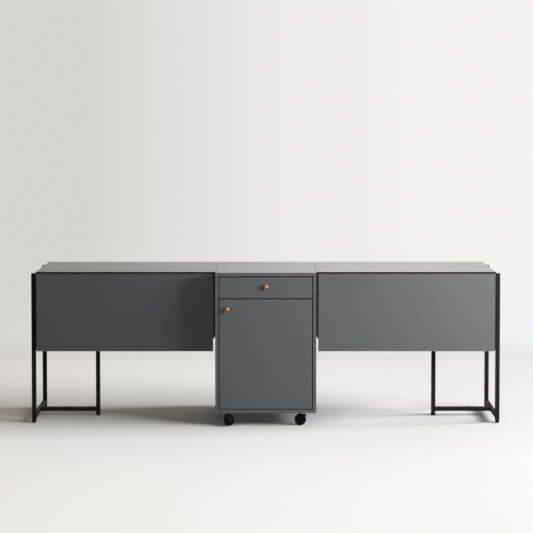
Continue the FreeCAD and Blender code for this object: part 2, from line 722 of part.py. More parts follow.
def build_stay_arm():
    """A flat bar with round ends, bored for the leaf's pin and carrying its own in the slot."""
    hanging, _ = stay_angles()
    bar_x = ("arm_x", "arm_far_x")
    bar = box("arm_bar", bar_x, ("-stay_arm_half_width", "stay_arm_half_width"), ("-stay_arm", "0"))
    eye = rod("arm_eye", "x", "stay_arm_half_width", bar_x, ("0", "0"))
    foot = rod("arm_foot", "x", "stay_arm_half_width", bar_x, ("0", "-stay_arm"))
    pin = rod("arm_pin", "x", "stay_pin_radius", ("inner_face_x + stay_side_gap", "arm_far_x"),
              ("0", "-stay_arm"))
    bore = rod("arm_bore", "x", "stay_pin_radius + bore_fit",
               (f"arm_x - {OVERSIZE}", f"arm_far_x + {OVERSIZE}"), ("0", "0"))
    arm = cut("stay_arm_upright", fuse("arm_blank", bar, eye, foot, pin), bore)
    arm.Placement.Rotation = FreeCAD.Rotation(FreeCAD.Vector(1, 0, 0), math.degrees(hanging))
    place(arm, "0", "stay_pivot_y", "stay_pivot_z")
    return arm


def stay_slot_face():
    """The slot's outline: arcs along both sides of the pin's path, and round ends."""
    half_width = size("stay_pin_radius") + size("slot_gap")
    across = FreeCAD.Vector(1, 0, 0)
    sides = {1: [], -1: []}
    for step in range(2 * SLOT_ARCS + 1):
        share = step / (2 * SLOT_ARCS)
        along = stay_pin_spot(share + PATH_NUDGE) - stay_pin_spot(share - PATH_NUDGE)
        for side, points in sides.items():
            points.append(stay_pin_spot(share) + across.cross(along).normalize() * (side * half_width))
    edges = []
    for points in sides.values():
        for k in range(0, 2 * SLOT_ARCS, 2):
            edges.append(Part.Arc(*points[k:k + 3]).toShape())
    for index, share, way in ((0, 0, -1), (-1, 1, 1)):
        along = stay_pin_spot(share + PATH_NUDGE) - stay_pin_spot(share - PATH_NUDGE)
        tip = stay_pin_spot(share) + along.normalize() * (way * half_width)
        edges.append(Part.Arc(sides[1][index], tip, sides[-1][index]).toShape())
    return Part.Face(Part.Wire(Part.__sortEdges__(edges)))


def build_stay_guides():
    """Plates on the cheeks, each with the curved slot that a stay's pin follows."""
    slot_face = stay_slot_face()
    margin = size("guide_margin")
    bounds = slot_face.BoundBox
    low = FreeCAD.Vector(size("inner_face_x"), size("cheek_front_y"), bounds.ZMin - margin)
    plate = Part.makeBox(size("guide_plate"), bounds.YMax + margin - low.y, bounds.ZLength + 2 * margin, low)
    guide = doc.addObject("Part::Feature", "stay_guide")
    guide.Shape = plate.cut(slot_face.extrude(FreeCAD.Vector(size("guide_plate"), 0, 0)))
    node("stay_guides", four("stay_guide_set", both_ends("stay_guide_pair", guide)))


def build_castor_hood():
    """A web between the wheels, an arched fender over them and a boss for the stem."""
    centre = ("-castor_trail", "wheel_radius")
    web = rod("hood_web", "y", "hood_web_radius", ("-hood_web_half", "hood_web_half"), centre)
    below = box("hood_web_below", ("-castor_trail - hood_radius", "-castor_trail + hood_radius"),
                ("-wheel_outer", "wheel_outer"), ("-hood_radius", "hood_floor_gap"))
    span = ("-wheel_outer", "wheel_outer")
    arch = rod("hood_arch", "y", "hood_radius", span, centre)
    arch_hollow = rod("hood_arch_hollow", "y", "hood_radius - hood_shell", span, centre)
    arch_below = box("hood_arch_below",
                     ("-castor_trail - 2 * hood_radius", "-castor_trail + 2 * hood_radius"),
                     span, ("-hood_radius", "wheel_radius + hood_skirt"))
    fender = cut("hood_fender", arch, arch_hollow, arch_below)
    boss = rod("hood_boss", "z", "castor_boss_radius", ("wheel_radius + castor_boss_radius", "hood_top_z"),
               ("0", "0"))
    room = "hood_radius - hood_shell"
    near_room = rod("hood_boss_near", "y", room, ("-wheel_outer", "-hood_web_half"), centre)
    far_room = rod("hood_boss_far", "y", room, ("hood_web_half", "wheel_outer"), centre)
    slim_boss = cut("hood_slim_boss", boss, near_room, far_room)
    blank = fuse("hood_blank", cut("hood_web_trimmed", web, below), fender, slim_boss)
    stem_bore = rod("hood_stem_bore", "z", "castor_stem_radius + bore_fit",
                    ("castor_stem_low_z - slide_gap", f"hood_top_z + {OVERSIZE}"), ("0", "0"))
    axle_bore = rod("hood_axle_bore", "y", "axle_radius + bore_fit", ("-wheel_outer", "wheel_outer"), centre)
    return cut("castor_hood", blank, stem_bore, axle_bore)


def build_castor_wheels():
    """Two tyres with dished outer faces, turned in one piece with the axle between them."""
    half = [
        ("axle_radius", "wheel_inner"),
        ("wheel_radius", "wheel_inner"),
        ("wheel_radius", "wheel_outer - wheel_edge"),
        ("wheel_radius - wheel_edge", "wheel_outer"),
        ("wheel_dish_radius", "wheel_outer"),
        ("wheel_dish_radius - wheel_dish", "wheel_outer - wheel_dish"),
        ("0", "wheel_outer - wheel_dish"),
    ]
    other_half = [(radius, f"-({height})") for radius, height in reversed(half)]
    wheels = turned("castor_wheel_pair", half + other_half)
    wheels.Placement.Rotation = FreeCAD.Rotation(FreeCAD.Vector(1, 0, 0), -90)
    place(wheels, "-castor_trail", "0", "wheel_radius")
    return wheels


def build_castors():
    stem = rod("castor_stem", "z", "castor_stem_radius",
               ("castor_stem_low_z", "cabinet_clearance + castor_stem_reach"), ("0", "0"))
    hood = build_castor_hood()
    wheels = build_castor_wheels()
    stems = []
    for spot, turn in CASTOR_TURNS.items():
        depth, side = spot.split("_")
        x = "castor_x" if side == "right" else "-castor_x"
        y = f"castor_{depth}_y"
        for label, source in (("castor_hood", hood), ("castor_wheels", wheels)):
            copy = group(f"{spot}_{label}_copy", source)
            copy.Placement.Rotation = FreeCAD.Rotation(FreeCAD.Vector(0, 0, 1), turn)
            place(copy, x, y, "0")
            node(f"{spot}_{label}", copy)
        fixed = group(f"{spot}_stem", stem)
        place(fixed, x, y, "0")
        stems.append(fixed)
    node("castor_stems", group("castor_stem_set", *stems))


def check_and_export():
    """Every object is computed and every piece is a valid solid before any file is written."""
    doc.recompute()
    for thing in doc.Objects:
        if {"Invalid", "Error"} & set(thing.State):
            raise RuntimeError(f"{thing.Name} failed: {thing.State}")
    for label, thing in nodes.items():
        shape = thing.Shape
        if shape.isNull() or not shape.isValid() or not shape.Solids:
            raise RuntimeError(f"{label} has no valid solid")
    os.makedirs("parts", exist_ok=True)
    for label, thing in nodes.items():
        thing.Shape.exportStep(f"parts/{label}.step")
    print(len(nodes), "nodes")


def main():
    fill_sheet()
    build_carcass()
    build_shelf()
    build_runners()
    build_drawer()
    build_door()
    build_knobs()
    build_wing_top()
    build_wing_frame()
    build_legs()
    build_leaves()
    build_hinges()
    build_stays()
    build_castors()
    check_and_export()


main()
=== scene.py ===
"""Looks of a folding dining table: a drawer cabinet on castors between two drop-leaf wings."""

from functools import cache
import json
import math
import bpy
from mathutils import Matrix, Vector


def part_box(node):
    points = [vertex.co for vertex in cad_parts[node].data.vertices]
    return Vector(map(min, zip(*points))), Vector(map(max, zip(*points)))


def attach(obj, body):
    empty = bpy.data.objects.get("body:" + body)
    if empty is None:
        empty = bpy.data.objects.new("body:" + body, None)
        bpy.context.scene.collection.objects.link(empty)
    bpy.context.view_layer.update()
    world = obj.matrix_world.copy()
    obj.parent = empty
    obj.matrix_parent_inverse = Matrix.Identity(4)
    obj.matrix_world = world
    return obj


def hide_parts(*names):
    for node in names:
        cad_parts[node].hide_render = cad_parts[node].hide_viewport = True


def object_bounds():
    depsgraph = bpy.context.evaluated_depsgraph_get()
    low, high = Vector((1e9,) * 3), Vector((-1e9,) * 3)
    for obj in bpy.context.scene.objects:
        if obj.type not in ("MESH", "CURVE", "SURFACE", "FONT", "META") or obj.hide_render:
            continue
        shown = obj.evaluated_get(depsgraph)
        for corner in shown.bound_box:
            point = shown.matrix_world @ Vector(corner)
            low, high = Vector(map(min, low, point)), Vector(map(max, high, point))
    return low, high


bl_info = {
    "name": "Folding Dining Table",
    "version": (1, 0, 0),
    "blender": (4, 5, 0),
    "location": "View3D > Sidebar > Table",
    "description": "Models the boards, legs, knobs and castors of a folding dining table and its studio",
    "category": "Object",
}

import bpy
from bpy.props import FloatProperty, FloatVectorProperty, IntProperty, PointerProperty, StringProperty
from mathutils import Vector

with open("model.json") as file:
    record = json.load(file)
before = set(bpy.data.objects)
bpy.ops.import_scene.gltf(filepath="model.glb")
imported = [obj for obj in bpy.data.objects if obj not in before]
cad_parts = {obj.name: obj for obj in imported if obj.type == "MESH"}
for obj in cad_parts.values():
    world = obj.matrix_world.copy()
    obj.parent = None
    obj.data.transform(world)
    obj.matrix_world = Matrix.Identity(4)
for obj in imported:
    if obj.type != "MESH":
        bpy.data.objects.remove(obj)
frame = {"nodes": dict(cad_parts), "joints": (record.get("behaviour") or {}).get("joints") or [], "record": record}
CAD_BOX = [list(corner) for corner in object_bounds()]
MM = 0.001
WELD_DIGITS = 6
SIDES = ("left", "right")
DEPTHS = ("front", "rear")
CORNERS = [f"{depth}_{side}" for depth in DEPTHS for side in SIDES]
QUARTERS = [f"{side}_{depth}" for side in SIDES for depth in DEPTHS]
# Faces that meet at less than these angles are shaded as one
BOARD_CREASE = math.radians(50)
TURNED_CREASE = math.radians(35)
ARCH_CREASE = math.radians(40)
FLAT_FACE_WEIGHT = 100
RIM_STEPS = 4
COVE_STEPS = 16
# Parts of a face's normal that tell a front's edges, painted black as painted shade for the gaps, and a top's
# underside
GAP_SHADE_TURN = 0.97
UNDERSIDE_TURN = -0.9
# How the paper's tone is painted darker towards its seam, as painted shade, and the air's own light
SEAM_SOFT = 4 * MM
SEAM_DIM = 0.9
SEAM_DIM_REACH = 0.7
FLOOR_DIM = 0.86
FLOOR_DIM_REACH = 2.2
AIR_LIGHT = 0.03


# Helpers for colours, scales and the frame

def srgb(text):
    """A hex sRGB colour as linear RGBA."""
    values = [int(text[k:k + 2], 16) / 255 for k in (1, 3, 5)]
    linear = [v / 12.92 if v <= 0.04045 else ((v + 0.055) / 1.055) ** 2.4 for v in values]
    return (*linear, 1.0)


def per_metre(size_mm):
    """A texture scale that gives features of about this size, on coordinates in metres."""
    return 1 / (size_mm * MM)


def body_of(node):
    return next(body for body, names in frame["record"]["behaviour"]["bodies"].items() if node in names)


def joint(name):
    return next(found for found in frame["joints"] if found["name"] == name)


def solid_boxes(node):
    """The low and high corners of each separate solid in a CAD node, from left to right."""
    mesh = frame["nodes"][node].data
    spots = [tuple(round(value, WELD_DIGITS) for value in vertex.co) for vertex in mesh.vertices]
    group_of = {spot: {spot} for spot in spots}
    for face in mesh.polygons:
        first = spots[face.vertices[0]]
        for vertex in face.vertices[1:]:
            small, large = sorted((group_of[first], group_of[spots[vertex]]), key=len)
            if small is not large:
                large |= small
                group_of.update(dict.fromkeys(small, large))
    groups = {id(group): group for group in group_of.values()}
    boxes = [(Vector(map(min, zip(*group))), Vector(map(max, zip(*group)))) for group in groups.values()]
    return sorted(boxes, key=lambda box: tuple(box[0]))


# Settings that a user would change

def metres(name, description, size):
    return FloatProperty(name=name, description=description, default=size, unit="LENGTH")


def degrees(name, description, turn):
    return FloatProperty(name=name, description=description, default=math.radians(turn), subtype="ANGLE")


def number(name, description, value):
    return FloatProperty(name=name, description=description, default=value)


def tone(name, description, hex_colour):
    return StringProperty(name=name, description=description, default=hex_colour)


class TableFinishSettings(bpy.types.PropertyGroup):
    lacquer: tone("Lacquer", "Satin lacquer on the boards", "#606265")
    powder: tone("Powder coat", "Powder coat on the steel", "#120F0B")
    brass: tone("Brass", "Turned brass of the knobs", "#966E42")
    nylon: tone("Nylon", "Moulded nylon of the castors", "#100E0D")
    tyre: tone("Tyre", "Soft tread of the castors", "#0E0C0B")
    zinc: tone("Zinc", "Zinc plate on pins and runners", "#B9BBBD")
    black_zinc: tone("Black zinc", "Black passivate on the door's pivots", "#2A2928")
    # This black is painted shade, standing in for the shade in the gaps round the door and the drawer's front
    gap_shade_paint: tone("Edge band", "Band round the door and drawer front", "#121110")
    birch: tone("Birch", "Birch plywood of the drawer box", "#C7A67B")


class TablePieceSettings(bpy.types.PropertyGroup):
    board_edge: metres("Board edge", "Rounding of the lacquered boards' edges", 0.7 * MM)
    tube_edge: metres("Tube edge", "Outside corner radius of the square tubes", 2.2 * MM)
    edge_steps: IntProperty(name="Edge steps", description="Segments across a rounded edge", default=3)
    round_steps: IntProperty(name="Round steps", description="Segments round a turned piece", default=56)
    rebate_gap: metres("Rebate gap", "Room behind a hanging leaf", 1.0 * MM)
    castor_web: metres("Castor web", "Width of the web between the wheels", 9.2 * MM)
    wheel_gap: metres("Wheel gap", "Room between a wheel and the web", 0.4 * MM)
    wheel_width: metres("Wheel width", "Width of one castor wheel", 11 * MM)
    hood_radius: metres("Hood radius", "Outside radius of a castor's hood", 28 * MM)
    hood_wall: metres("Hood wall", "Wall of a castor's hood", 2 * MM)
    hood_skirt: metres("Hood skirt", "Height of the hood's lower edge over the axle", 4 * MM)
    boss_radius: metres("Boss radius", "Radius of the boss round a castor's stem", 7 * MM)
    head_steps: IntProperty(name="Head steps", description="Segments round a screw head", default=12)
    screw_radius: metres("Screw radius", "Radius of a screw's head", 3.4 * MM)
    screw_inset: metres("Screw inset", "From a plate's edge to a screw", 8 * MM)
    bolt_radius: metres("Bolt radius", "Radius of a bolt's head", 6 * MM)
    bracket_plate: metres("Bracket plate", "Plate of a stay's bracket", 2.5 * MM)
    cap_rim: metres("Cap rim", "How far a post's cap is set in", 1.0 * MM)
    cap_height: metres("Cap height", "How far a cap stands over its post", 1.6 * MM)
    strip_gap: metres("Strip gap", "Room between a post's strip and the leaves' ends", 1.5 * MM)
    bead_radius: metres("Bead radius", "Radius of a weld bead", 1.6 * MM)


class TableStudioSettings(bpy.types.PropertyGroup):
    camera_place: FloatVectorProperty(name="Camera place", description="Where the camera stands",
                                      default=(-0.0004, -6.4222, 1.5925), subtype="TRANSLATION")
    camera_pitch: degrees("Camera pitch", "How far the camera looks down", 2.0)
    camera_yaw: degrees("Camera yaw", "How far the camera looks to the right", 0.038)
    lens: number("Lens", "Focal length in millimetres", 86.94)
    sensor: number("Sensor", "Sensor width in millimetres", 36.0)
    shift_y: number("Rise", "Vertical shift of the lens", -0.2298)
    seam_y: metres("Seam", "How far behind the origin the paper takes the wall's tone", 1.40)
    wall_y: metres("Wall", "How far behind the origin the wall stands", 7.5)
    cove: metres("Cove", "Radius between the floor and the wall", 0.6)
    room: metres("Room", "How far the floor and wall reach", 11.0)
    floor_shade: number("Floor shade", "Share of the floor's tone that lamps give", 0.96)
    tone_reach: metres("Tone reach", "Half width over which the paper's tone changes", 1.9)
    bounce: tone("Bounce", "Tone of the light that the paper throws back", "#3C3B3A")
    sun_height: degrees("Sun height", "Height of the sun that shades the floor", 25.5)
    sun_side: degrees("Sun side", "How far in front of the table's right end the sun stands", -4)
    sun_spread: degrees("Sun spread", "Width of the sun, which softens the shadow", 14)
    sun_share: number("Sun share", "Share of the floor's light that the sun gives", 0.43)
    glow_height: degrees("Glow height", "Height of the glow beside the sun", 28)
    glow_side: degrees("Glow side", "How far in front of the table's right end the glow stands", 16)
    glow_spread: degrees("Glow spread", "Width of the glow, which softens the shadow's rear", 26)
    glow_share: number("Glow share", "Share of the floor's light that the glow gives", 0.405)
    wall_glow_height: degrees("Wall glow height", "Height of the light that the wall throws back", 26)
    wall_glow_side: degrees("Wall glow side", "How far in front of the right end it comes from", -58)
    wall_glow_spread: degrees("Wall glow spread", "Width of the light that the wall throws back", 60)
    wall_glow_share: number("Wall glow share", "Share of the floor's light that the wall gives", 0.095)
    # Painted light: the paper's tone runs from darker on the left to lighter on the right, as the windows' light
    # falls off
    floor_left: tone("Floor left", "Tone of the floor on the left", "#E1DBD7")
    floor_middle: tone("Floor middle", "Tone of the floor in the middle", "#F2F1EF")
    floor_right: tone("Floor right", "Tone of the floor on the right", "#F9F9F8")
    wall_left: tone("Wall left", "Tone of the wall on the left", "#D8D4CF")
    wall_middle: tone("Wall middle", "Tone of the wall in the middle", "#EAE9E7")
    wall_right: tone("Wall right", "Tone of the wall on the right", "#F3F2F1")


# Modelling helpers: what they make is left selected and unturned, with its place in its mesh

def settings():
    return bpy.context.scene.table_pieces


def finishes():
    return bpy.context.scene.table_finishes


def start_clean():
    if bpy.context.object and bpy.context.object.mode != "OBJECT":
        bpy.ops.object.mode_set(mode="OBJECT")
    bpy.ops.object.select_all(action="DESELECT")


def select_only(objects):
    start_clean()
    for thing in objects:
        thing.select_set(True)
    bpy.context.view_layer.objects.active = objects[0]


def settle(thing):
    """Applies the object's place, turn and size to its mesh."""
    select_only([thing])
    bpy.ops.object.transform_apply(location=True, rotation=True, scale=True)
    return thing


def stand(thing, place, axis):
    """Sets a piece made along Z at the origin on its axis, at its place."""
    thing.rotation_mode = "QUATERNION"
    thing.rotation_quaternion = Vector((0, 0, 1)).rotation_difference(Vector(axis))
    thing.location = place
    return settle(thing)


def joined(name, pieces):
    select_only(pieces)
    if len(pieces) > 1:
        bpy.ops.object.join()
    whole = bpy.context.object
    whole.name = name
    return whole


def block(low, high):
    """A plain block between two corners, still to be shaped."""
    low, high = Vector(low), Vector(high)
    start_clean()
    bpy.ops.mesh.primitive_cube_add(size=1, location=(low + high) / 2)
    made = bpy.context.object
    made.scale = high - low
    return settle(made)


def edit(thing, kind):
    """Opens a piece in edit mode with all of it selected."""
    select_only([thing])
    bpy.ops.object.mode_set(mode="EDIT")
    bpy.ops.mesh.select_mode(type=kind)
    bpy.ops.mesh.select_all(action="SELECT")


def modified(thing, kind, **values):
    """Adds a modifier with these values and applies it."""
    select_only([thing])
    made = thing.modifiers.new(kind, kind)
    for name, value in values.items():
        setattr(made, name, value)
    bpy.ops.object.modifier_apply(modifier=made.name)
    return thing


def shaded(thing):
    """Smooth rounded edges, with the wide faces left flat to the light."""
    bpy.ops.object.shade_smooth_by_angle(angle=BOARD_CREASE)
    return modified(thing, "WEIGHTED_NORMAL", keep_sharp=True, weight=FLAT_FACE_WEIGHT)


def soften(thing, width, steps):
    """Rounds every edge of a block."""
    edit(thing, "EDGE")
    bpy.ops.mesh.bevel(offset=width, segments=steps, profile=0.5, affect="EDGES")
    bpy.ops.object.mode_set(mode="OBJECT")
    return shaded(thing)


def soften_corners(thing):
    """Rounds only the sharp edges, where two faces meet at an angle."""
    return shaded(modified(thing, "BEVEL", width=settings().board_edge, segments=settings().edge_steps,
                           limit_method="ANGLE"))


def board(low, high):
    return soften(block(low, high), settings().board_edge, settings().edge_steps)


def tube(low, high):
    return soften(block(low, high), settings().tube_edge, settings().edge_steps)


def turned(stations, place, axis, steps=None):
    """A lathe piece: a round cap drawn through (radius, height) stations, then set on its axis."""
    start_clean()
    radius, height = stations[0]
    bpy.ops.mesh.primitive_circle_add(vertices=steps or settings().round_steps, radius=radius,
                                      fill_type="NGON", location=(0, 0, height))
    made = settle(bpy.context.object)
    edit(made, "FACE")
    for (radius, height), (next_radius, next_height) in zip(stations, stations[1:]):
        bpy.ops.mesh.extrude_region_move(TRANSFORM_OT_translate={"value": (0, 0, next_height - height)})
        share = next_radius / radius
        bpy.ops.transform.resize(value=(share, share, 1), center_override=(0, 0, next_height))
    bpy.ops.mesh.select_all(action="SELECT")
    bpy.ops.mesh.normals_make_consistent(inside=False)
    bpy.ops.object.mode_set(mode="OBJECT")
    bpy.ops.object.shade_smooth_by_angle(angle=TURNED_CREASE)
    return stand(made, place, axis)


def copies(model, places):
    """Sets a copy of a small piece, made along Z at the origin, at each (place, axis)."""
    made = []
    for place, axis in places:
        select_only([model])
        bpy.ops.object.duplicate()
        made.append(stand(bpy.context.object, place, axis))
    select_only([model])
    bpy.ops.object.delete()
    return made


def rim_stations(radius, height, rim):
    """Stations round the two rounded rims of a disc, from its lower face to its upper one."""
    found = []
    for middle, start in ((rim, -90), (height - rim, 0)):
        for k in range(RIM_STEPS + 1):
            angle = math.radians(start + 90 * k / RIM_STEPS)
            found.append((radius - rim + rim * math.cos(angle), middle + rim * math.sin(angle)))
    return found


def both_ends(stations, length):
    """Stations drawn in from one end of a piece, and the same again at its other end."""
    return stations + [(radius, length - height) for radius, height in reversed(stations)]


def finish_piece(thing, material, node):
    """Gives a piece its material, its body and the CAD node that it stands for."""
    add_detail(thing, material, node)
    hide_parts(node)
    return thing


def rebuilt(name, node, material, shape):
    """A node's solids, each made again in this shape, as one piece that stands for the node."""
    return finish_piece(joined(name, [shape(*box) for box in solid_boxes(node)]), material, node)


def add_detail(thing, material, node):
    """Gives a piece its material, and the body of the CAD node that it sits on."""
    thing.data.materials.clear()
    thing.data.materials.append(material)
    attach(thing, body_of(node))


def dress(material, *nodes):
    """Gives CAD nodes that are shown as they are a better material."""
    for node in nodes:
        for place in frame["nodes"][node].material_slots:
            place.material = material


# Materials: each is made once and shared, apart from the brass, which is turned about each knob

def add_node(tree, kind, inputs=None, **options):
    """Adds a node with its options, and sets or links its inputs. A node there means its first output."""
    made = tree.nodes.new("ShaderNode" + kind)
    for option, value in options.items():
        setattr(made, option, value)
    for socket, value in (inputs or {}).items():
        if isinstance(value, bpy.types.Node):
            value = value.outputs[0]
        if isinstance(value, bpy.types.NodeSocket):
            tree.links.new(value, made.inputs[socket])
        else:
            made.inputs[socket].default_value = value
    return made


def new_material(name, **shader_values):
    """A material whose shader has these values, its node tree and its Object coordinates."""
    made = bpy.data.materials.new(name)
    made.use_nodes = True
    tree = made.node_tree
    shader = tree.nodes["Principled BSDF"]
    for socket, value in shader_values.items():
        shader.inputs[socket.replace("_", " ").title().replace("Ior", "IOR")].default_value = value
    place = add_node(tree, "TexCoord").outputs["Object"]
    return made, tree, place


def tinted(tree, colour, pattern, shades, reach=(0.0, 1.0)):
    """A colour made darker and lighter by a pattern, as the pattern runs over its reach."""
    shade = add_node(tree, "MapRange", {"Value": pattern, "From Min": reach[0], "From Max": reach[1],
                                        "To Min": shades[0], "To Max": shades[1]})
    mix = add_node(tree, "Mix", {0: 1.0, 6: colour, 7: shade}, data_type="RGBA", blend_type="MULTIPLY")
    return mix.outputs[2]


def varied(made, colour, pattern, shades, roughness, haze=None, relief=None):
    """Patterns vary the colour and the roughness, and a relief of (pattern, strength, depth) the surface."""
    tree = made.node_tree
    shader = tree.nodes["Principled BSDF"]
    tree.links.new(tinted(tree, srgb(colour), pattern, shades), shader.inputs["Base Color"])
    smooth, dull = roughness
    rough = add_node(tree, "MapRange", {"Value": haze or pattern, "To Min": smooth, "To Max": dull})
    tree.links.new(rough.outputs["Result"], shader.inputs["Roughness"])
    if relief:
        height, strength, depth = relief
        bump = add_node(tree, "Bump", {"Height": height, "Strength": strength, "Distance": depth})
        tree.links.new(bump.outputs["Normal"], shader.inputs["Normal"])
    return made


@cache
def satin_lacquer():
    """Satin lacquer sprayed on board: an even colour with a fine orange peel and a soft, broad sheen."""
    made, tree, place = new_material("satin_grey_lacquer", ior=1.5)
    cloud = add_node(tree, "TexNoise", {"Vector": place, "Scale": per_metre(110), "Detail": 3.0})
    haze = add_node(tree, "TexNoise", {"Vector": place, "Scale": per_metre(45), "Detail": 4.0})
    peel = add_node(tree, "TexNoise", {"Vector": place, "Scale": per_metre(2.2), "Detail": 2.0})
    return varied(made, finishes().lacquer, cloud, shades=(0.95, 1.05), roughness=(0.34, 0.46),
                  haze=haze, relief=(peel, 0.05, 0.2 * MM))


@cache
def powder_coat():
    """Baked powder coat on steel: near black, with a grit, drawn coarse to show, that breaks up the light."""
    made, tree, place = new_material("black_powder_coat", ior=1.5, specular_ior_level=0.11)
    cloud = add_node(tree, "TexNoise", {"Vector": place, "Scale": per_metre(60), "Detail": 3.0})
    grit = add_node(tree, "TexNoise", {"Vector": place, "Scale": per_metre(0.9), "Detail": 3.0})
    return varied(made, finishes().powder, cloud, shades=(0.85, 1.15), roughness=(0.5, 0.64),
                  relief=(grit, 0.12, 0.15 * MM))


def turned_brass(name, centre):
    """Lathe-turned brass: warm, half polished, with tool rings round its axis, drawn coarse to show."""
    made, tree, place = new_material(name, metallic=1.0)
    tarnish = add_node(tree, "TexNoise", {"Vector": place, "Scale": per_metre(9), "Detail": 4.0})
    here = add_node(tree, "Mapping", {"Vector": place, "Location": -Vector(centre)})
    rings = add_node(tree, "TexWave", {"Vector": here, "Scale": per_metre(0.8) / math.tau},
                     wave_type="RINGS", rings_direction="Y")
    return varied(made, finishes().brass, tarnish, shades=(0.86, 1.08), roughness=(0.22, 0.36),
                  relief=(rings.outputs["Fac"], 0.08, 0.1 * MM))


@cache
def moulded_nylon():
    """Injection-moulded nylon: black, spark-eroded to a dull even grain, drawn coarse to show."""
    made, tree, place = new_material("moulded_nylon", ior=1.53, specular_ior_level=0.13)
    cloud = add_node(tree, "TexNoise", {"Vector": place, "Scale": per_metre(14), "Detail": 3.0})
    grain = add_node(tree, "TexVoronoi", {"Vector": place, "Scale": per_metre(0.7)})
    return varied(made, finishes().nylon, cloud, shades=(0.85, 1.2), roughness=(0.4, 0.55),
                  relief=(grain, 0.1, 0.1 * MM))


@cache
def soft_tyre():
    """Soft polyurethane tread: black and dull, with dust where it rolls."""
    made, tree, place = new_material("soft_castor_tyre", ior=1.5, specular_ior_level=0.1)
    dust = add_node(tree, "TexNoise", {"Vector": place, "Scale": per_metre(6), "Detail": 5.0})
    return varied(made, finishes().tyre, dust, shades=(0.8, 1.35), roughness=(0.6, 0.8))


@cache
def zinc_plate():
    """Bright zinc on steel: cool grey metal with a faint crystal bloom."""
    made, tree, place = new_material("zinc_plated_steel", metallic=1.0)
    bloom = add_node(tree, "TexVoronoi", {"Vector": place, "Scale": per_metre(3)})
    return varied(made, finishes().zinc, bloom, shades=(0.85, 1.05), roughness=(0.28, 0.42))


@cache
def black_zinc():
    """Zinc with a black passivate: a dark dull metal on the small hinge parts."""
    made, tree, place = new_material("black_passivated_zinc", metallic=1.0)
    stain = add_node(tree, "TexNoise", {"Vector": place, "Scale": per_metre(4), "Detail": 3.0})
    return varied(made, finishes().black_zinc, stain, shades=(0.8, 1.2), roughness=(0.4, 0.55))


@cache
def gap_shade_paint():
    """Painted shade: black, dull faces with faint marks round the door and the drawer's front, standing in for the
    shade in the gaps round them.
    """
    made, tree, place = new_material("black_edge_band", ior=1.53, specular_ior_level=0.2)
    marks = add_node(tree, "TexNoise", {"Vector": place, "Scale": per_metre(5), "Detail": 3.0})
    return varied(made, finishes().gap_shade_paint, marks, shades=(0.8, 1.2), roughness=(0.45, 0.6))


@cache
def birch_plywood():
    """Oiled birch plywood: a pale, even face with long fine grain running along the drawer."""
    made, tree, place = new_material("oiled_birch_plywood", ior=1.5)
    stretched = add_node(tree, "Mapping", {"Vector": place, "Scale": (1.0, 0.06, 1.0)})
    grain = add_node(tree, "TexNoise", {"Vector": stretched, "Scale": per_metre(3), "Detail": 5.0})
    return varied(made, finishes().birch, grain, shades=(0.78, 1.12), roughness=(0.45, 0.6),
                  relief=(grain, 0.1, 0.2 * MM))


# The pieces, one operator for each group of like ones

class TABLE_OT_lacquered_boards(bpy.types.Operator):
    """Boards of the cabinet, its fronts and the cheeks under the wings, with softened edges"""
    bl_idname = "table.lacquered_boards"
    bl_label = "Lacquered Boards"

    BOARDS = ("cabinet_left_side", "cabinet_right_side", "cabinet_top", "cabinet_bottom", "cabinet_back",
              "cabinet_divider", "cabinet_shelf", "drawer_front", "door_panel", "inner_cheeks", "end_cheeks")
    # The fronts' narrow faces are painted black, as painted shade for the gaps round them
    GAP_SHADED = ("drawer_front", "door_panel")

    def execute(self, context):
        for node in self.BOARDS:
            whole = rebuilt(f"{node}_board", node, satin_lacquer(), board)
            if node in self.GAP_SHADED:
                self.shade_edge_faces(whole)
        return {"FINISHED"}

    def shade_edge_faces(self, whole):
        """The narrow faces round a front are painted black, as painted shade for the gaps round it."""
        whole.data.materials.append(gap_shade_paint())
        for face in whole.data.polygons:
            if abs(face.normal.y) < GAP_SHADE_TURN:
                face.material_index = 1


class TABLE_OT_leaves(bpy.types.Operator):
    """The four hanging leaves"""
    bl_idname = "table.leaves"
    bl_label = "Leaves"

    def execute(self, context):
        for quarter in QUARTERS:
            leaf = joined(f"{quarter}_leaf_board", [board(*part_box(f"{quarter}_leaf"))])
            finish_piece(leaf, satin_lacquer(), f"{quarter}_leaf")
        return {"FINISHED"}


class TABLE_OT_wing_tops(bpy.types.Operator):
    """The wings' tops, each with a lip along both long edges for a leaf to hang under"""
    bl_idname = "table.wing_tops"
    bl_label = "Wing Tops"

    def execute(self, context):
        lip_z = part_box("wing_hinge_plates")[0].z
        for side in SIDES:
            low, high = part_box(f"{side}_wing_top")
            top = block((low.x, low.y, lip_z), high)
            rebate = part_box(f"{side}_front_leaf")[1].y + settings().rebate_gap
            middle = (low.y + high.y) / 2
            bpy.ops.object.mode_set(mode="EDIT")
            for y in (rebate, 2 * middle - rebate):
                bpy.ops.mesh.select_all(action="SELECT")
                bpy.ops.mesh.bisect(plane_co=(0, y, 0), plane_no=(0, 1, 0))
            self.pick_under_middle(top, lip_z, middle)
            bpy.ops.mesh.extrude_region_move(TRANSFORM_OT_translate={"value": (0, 0, low.z - lip_z)})
            bpy.ops.object.mode_set(mode="OBJECT")
            soften_corners(top)
            top.name = f"{side}_wing_top_board"
            finish_piece(top, satin_lacquer(), f"{side}_wing_top")
        return {"FINISHED"}

    def pick_under_middle(self, top, level, middle):
        """Selects the strip of the underside between the two rebates."""
        bpy.ops.mesh.select_mode(type="FACE")
        bpy.ops.mesh.select_all(action="DESELECT")
        bpy.ops.object.mode_set(mode="OBJECT")
        under = [face for face in top.data.polygons
                 if face.normal.z < UNDERSIDE_TURN and abs(face.center.z - level) < MM]
        min(under, key=lambda face: abs(face.center.y - middle)).select = True
        bpy.ops.object.mode_set(mode="EDIT")


